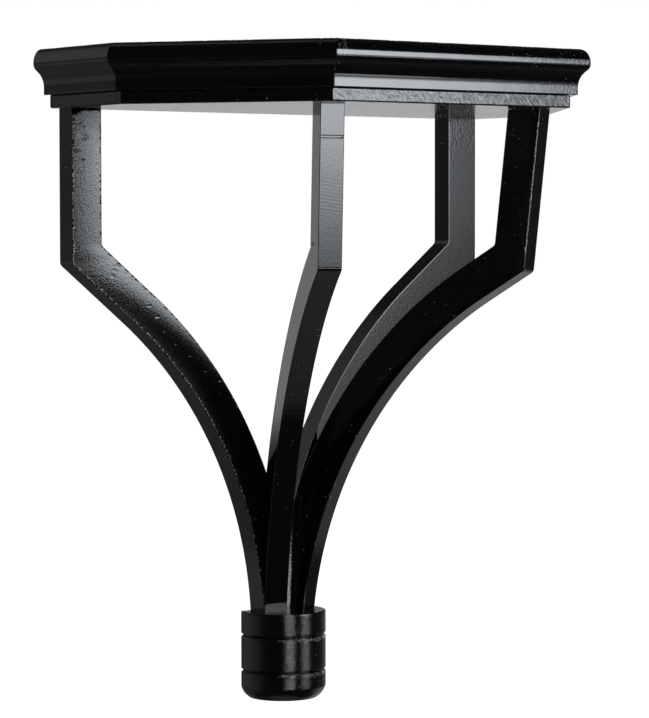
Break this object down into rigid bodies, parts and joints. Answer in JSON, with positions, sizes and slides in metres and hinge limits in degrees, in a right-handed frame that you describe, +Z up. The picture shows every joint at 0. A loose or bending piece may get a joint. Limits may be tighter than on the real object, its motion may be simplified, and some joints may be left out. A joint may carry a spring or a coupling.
{
  "type": "wooden shelf bracket",
  "caption": "Wall shelf bracket of black-painted wood: moulded angular shelf on slender swept ribs that gather on a turned drop.",
  "frame": {"origin": "on the wall face of the moulded shelf board, halfway along the wall and halfway up the board", "axes": "+Y out of the back face into the wall, +Z up, +X to the right seen from the front; the shelf stands out towards -Y"},
  "size_m": [0.3332, 0.1846, 0.384],
  "materials": {
    "shelf_paint": "gloss black paint, saw marks telegraphing through on the front edge",
    "rib_paint": "brushed gloss black paint over sawn wood, stippled, with pinholes and worn arrises",
    "drop_paint": "gloss black paint over turned wood"
  },
  "bodies": {
    "root": {"moulded_shelf_board": "shelf_paint", "under_board": "shelf_paint", "left_wall_rib": "rib_paint", "left_front_rib": "rib_paint", "right_front_rib": "rib_paint", "right_wall_rib": "rib_paint", "turned_drop": "drop_paint"}
  },
  "joints": []
}
